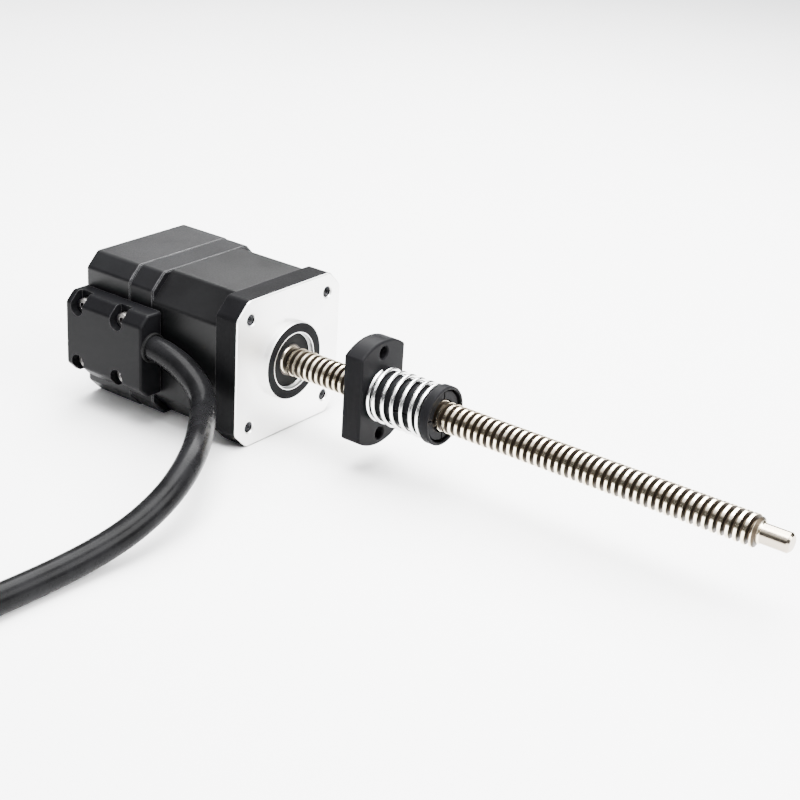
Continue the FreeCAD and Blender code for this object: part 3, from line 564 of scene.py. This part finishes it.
def resample(path, step):
    path = np.asarray(path, float)
    reach = np.r_[0, np.cumsum(np.linalg.norm(np.diff(path, axis=0), axis=1))]
    stops = np.linspace(0, reach[-1], max(2, int(round(reach[-1] / step)) + 1))
    return np.column_stack([np.interp(stops, reach, path[:, i]) for i in range(3)])


# ---------------------------------------------------------------- cable and its cores
CABLE_Y, CABLE_Z = -24.9, 2.5  # where the cable lies as it leaves the box
# x, y, z of the spline poles, from the box outwards
CABLE_POLES = [
    (-27.30, CABLE_Y, CABLE_Z), (-19.65, CABLE_Y, CABLE_Z), (-8.76, -23.81, -3.68),
    (-3.02, -30.27, -8.19), (7.27, -42.04, -6.30), (17.96, -56.29, -5.57),
    (21.71, -72.83, -12.97), (18.78, -94.39, -18.35), (17.53, -123.81, -17.30),
]
SHEATH_RADIUS, SHEATH_BORE, SHEATH_TIP_RADIUS = 3.5, 2.75, 3.32
CORE_RADIUS, CORE_PITCH_RADIUS = 0.8, 1.75
STRAND_RADIUS, STRAND_PITCH_RADIUS = 0.13, 0.27
BEND_X, BEND_RADIUS = -48.3, 4  # the quarter turn of the cores inside the box
BEND_Y = CABLE_Y + BEND_RADIUS
CORE_START_Y = -18.2
CORE_STICKOUT = 6.0
STRAND_STATIONS = (-0.2, 0.8, 1.6, 2.4, 2.9)  # distances past the end of the cores
STRAND_TWIST = 1.2  # radians


def six_round_one(pitch_radius, first_degrees):
    """Radius and angle of seven round wires packed together."""
    return [(0.0, 0.0)] + [(pitch_radius, math.radians(first_degrees + 60 * i))
                           for i in range(6)]


def cable_line():
    lead_in = [(-31.5, CABLE_Y, CABLE_Z), (-29.0, CABLE_Y, CABLE_Z)]
    return resample(np.vstack([lead_in, bspline(CABLE_POLES, 400)]), 0.6)


def build_sheath(line):
    radii = np.full(len(line), SHEATH_RADIUS)
    radii[-1] = SHEATH_TIP_RADIUS
    verts, faces = tube(line, radii, 56, bore=SHEATH_BORE)
    add_part("cable_sheath", verts, faces, [materials["cable_black"]], "housing",
             "cable_jacket")


def build_cores(line):
    """Seven cores, each ending in a short twist of seven bare strands."""
    bend = [(BEND_X - BEND_RADIUS, CORE_START_Y, CABLE_Z)]
    for degrees in range(0, 91, 10):
        angle = math.radians(degrees)
        bend.append((BEND_X - BEND_RADIUS * math.cos(angle),
                     BEND_Y - BEND_RADIUS * math.sin(angle), CABLE_Z))
    end = (line[-1] - line[-2]) / np.linalg.norm(line[-1] - line[-2])
    path = resample(np.vstack([bend, line, line[-1] + end * CORE_STICKOUT]), 0.9)
    frames = path_frames(path)
    tip = np.array([path[-1] + end * s for s in STRAND_STATIONS])
    tip_frames = tuple(np.repeat(axis[-1:], len(tip), axis=0) for axis in frames)
    _, normals, sides = tip_frames
    twist = np.linspace(0, STRAND_TWIST, len(tip))
    parts, face_looks = [], []
    copper = len(core_materials)
    for core, (pitch, angle) in enumerate(six_round_one(CORE_PITCH_RADIUS, 0)):
        offset = (pitch * math.cos(angle), pitch * math.sin(angle))
        parts.append(tube(path, CORE_RADIUS, 16, offset=offset, frames=frames))
        face_looks += [core] * len(parts[-1][1])
        for strand_pitch, start in six_round_one(STRAND_PITCH_RADIUS, 60):
            around = (normals * np.cos(start + twist)[:, None]
                      + sides * np.sin(start + twist)[:, None])
            strand = tip + normals * offset[0] + sides * offset[1] + strand_pitch * around
            parts.append(tube(strand, STRAND_RADIUS, 8, frames=tip_frames))
            face_looks += [copper] * len(parts[-1][1])
    verts, faces = join(parts)
    add_part("cable_core_bundle", verts, faces, core_materials + [materials["copper_wire"]],
             "housing", "cable_cores", face_looks)


line = cable_line()
build_sheath(line)
build_cores(line)

# ---------------------------------------------------------------- anti-backlash spring
SPRING_START, SPRING_LENGTH = 32.32, 17.86
SPRING_END = SPRING_START + SPRING_LENGTH
COIL_RADIUS, WIRE_RADIUS = 7.0, 0.55
CLOSED_TURNS, CLOSED_PITCH = 0.9, 1.16  # at each end
ACTIVE_TURNS = 4.9
TURNS = 2 * CLOSED_TURNS + ACTIVE_TURNS
ACTIVE_PITCH = (SPRING_LENGTH - 2 * WIRE_RADIUS - 2 * CLOSED_TURNS * CLOSED_PITCH) / ACTIVE_TURNS


def spring_x(turn):
    turn = min(max(turn, 0), TURNS)
    first = SPRING_START + WIRE_RADIUS
    if turn <= CLOSED_TURNS:
        return first + CLOSED_PITCH * turn
    if turn <= CLOSED_TURNS + ACTIVE_TURNS:
        return first + CLOSED_PITCH * CLOSED_TURNS + ACTIVE_PITCH * (turn - CLOSED_TURNS)
    return SPRING_END - WIRE_RADIUS - CLOSED_PITCH * (TURNS - turn)


def build_spring():
    coil = []
    for turn in np.linspace(0, TURNS, int(TURNS * 72)):
        # averaging nearby turns eases the change of pitch
        x = sum(spring_x(turn + shift) for shift in (-0.12, -0.06, 0, 0.06, 0.12)) / 5
        angle = math.radians(100.0) + 2 * math.pi * turn
        coil.append((x, COIL_RADIUS * math.cos(angle), COIL_RADIUS * math.sin(angle)))
    radii = np.full(len(coil), WIRE_RADIUS)
    radii[0] = radii[-1] = WIRE_RADIUS * 0.8
    verts, faces = tube(coil, radii, 18)
    spring = add_part("spring_coil", verts, faces, [materials["spring_steel"]], "nut",
                      "antibacklash_spring")
    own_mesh(spring)


build_spring()

# ---------------------------------------------------------------- threads in the mounting holes
THREAD_START_X, THREAD_PITCH, THREAD_TURNS = -0.55, 0.5, 8
THREAD_RADIUS, THREAD_HEIGHT = 1.495, 0.24
ROOT_HALF_WIDTH, CREST_HALF_WIDTH = 0.19, 0.03


def hole_thread(y, z):
    """A ridge standing inwards, fading over the first and last turn."""
    seg = 24
    steps = THREAD_TURNS * seg
    verts = []
    for i in range(steps + 1):
        angle = 2 * math.pi * i / seg
        x = THREAD_START_X - THREAD_PITCH * i / seg
        crest = THREAD_RADIUS - THREAD_HEIGHT * min(1.0, i / seg, (steps - i) / seg)
        for shift, radius in ((ROOT_HALF_WIDTH, THREAD_RADIUS), (CREST_HALF_WIDTH, crest),
                              (-CREST_HALF_WIDTH, crest), (-ROOT_HALF_WIDTH, THREAD_RADIUS)):
            verts.append((x + shift, y + radius * math.cos(angle),
                          z + radius * math.sin(angle)))
    return verts, ring_faces(steps + 1, 4) + end_caps(steps + 1, 4)


verts, faces = join([hole_thread(y, z) for y, z in HOLE_CENTRES])
add_part("hole_threads", verts, faces, [materials["black_oxide_steel"]], "housing")

# ---------------------------------------------------------------- floor, light, camera (metres)
FLOOR_HALF, FLOOR_Z = 3.0, -0.0212
# height in the sky (0 to 1) and colour
SKY = [
    (0.0, (0.05, 0.05, 0.052, 1)),
    (0.12, (0.05, 0.05, 0.051, 1)),
    (0.48, (0.14, 0.14, 0.1428, 1)),
    (0.80, (2.3, 2.33, 2.38, 1)),
]
# name, place, target, size, size_y, watts
LIGHTS = [
    ("key", (-0.15, 0.35, 0.50), (0.0, 0, 0), 0.50, 0.50, 17.0),
    ("top", (0.05, -0.05, 0.70), (0.02, -0.02, 0), 0.50, 0.50, 24.0),
    ("front", (0.55, 0.10, 0.45), (0.05, 0, 0), 0.40, 0.40, 13.0),
    ("strip", (0.10, -0.45, 0.60), (0.0, -0.06, 0), 0.06, 0.6, 2.5),
]
CAMERA_PLACE = (0.2683, -0.3167, 0.1738)
# the camera's right, up and backward directions
CAMERA_AXES = ((0.7919, 0.6077, 0.0596), (-0.2908, 0.2895, 0.9119), (0.5369, -0.7395, 0.4059))


def build_floor():
    s = Surface("floor", (0.86, 0.86, 0.86), rough=0.6)
    s.drive("Base Color", s.mottle(s.noise(6, detail=4), (0.84, 0.84, 0.84),
                                   (0.88, 0.88, 0.88)))
    mesh = bpy.data.meshes.new("floor")
    corners = [(x * FLOOR_HALF, y * FLOOR_HALF, FLOOR_Z)
               for x, y in ((-1, -1), (1, -1), (1, 1), (-1, 1))]
    mesh.from_pydata(corners, [], [(0, 1, 2, 3)])
    mesh.materials.append(s.finish())
    add_object("floor", mesh)


def build_sky():
    """A studio sky that brightens upwards."""
    world = bpy.data.worlds.new("studio")
    world.use_nodes = True
    nodes, links = world.node_tree.nodes, world.node_tree.links
    coords = nodes.new("ShaderNodeTexCoord")
    axes = nodes.new("ShaderNodeSeparateXYZ")
    ramp = nodes.new("ShaderNodeValToRGB")
    background = nodes["Background"]
    links.new(coords.outputs["Generated"], axes.inputs[0])
    links.new(axes.outputs["Z"], ramp.inputs[0])
    links.new(ramp.outputs[0], background.inputs["Color"])
    background.inputs["Strength"].default_value = 1.0
    stops = ramp.color_ramp.elements
    stops[0].position, stops[0].color = SKY[0]
    stops[1].position, stops[1].color = SKY[-1]
    for height, color in SKY[1:-1]:
        stops.new(height).color = color
    bpy.context.scene.world = world


def add_light(name, place, target, size, size_y, watts):
    data = bpy.data.lights.new(name, "AREA")
    data.shape = "RECTANGLE"
    data.size, data.size_y = size, size_y
    data.energy = watts
    light = add_object(name, data)
    light.location = place
    light.rotation_mode = "QUATERNION"
    aim = Vector(target) - Vector(place)
    light.rotation_quaternion = aim.to_track_quat("-Z", "Y")


def add_camera():
    data = bpy.data.cameras.new("camera")
    data.sensor_width, data.lens = 36.0, 74.025
    data.clip_start, data.clip_end = 0.005, 20.0
    camera = add_object("camera", data)
    turn = Matrix(CAMERA_AXES).transposed().to_4x4()
    camera.matrix_world = Matrix.Translation(Vector(CAMERA_PLACE)) @ turn
    bpy.context.scene.camera = camera


build_floor()
build_sky()
for light in LIGHTS:
    add_light(*light)
add_camera()
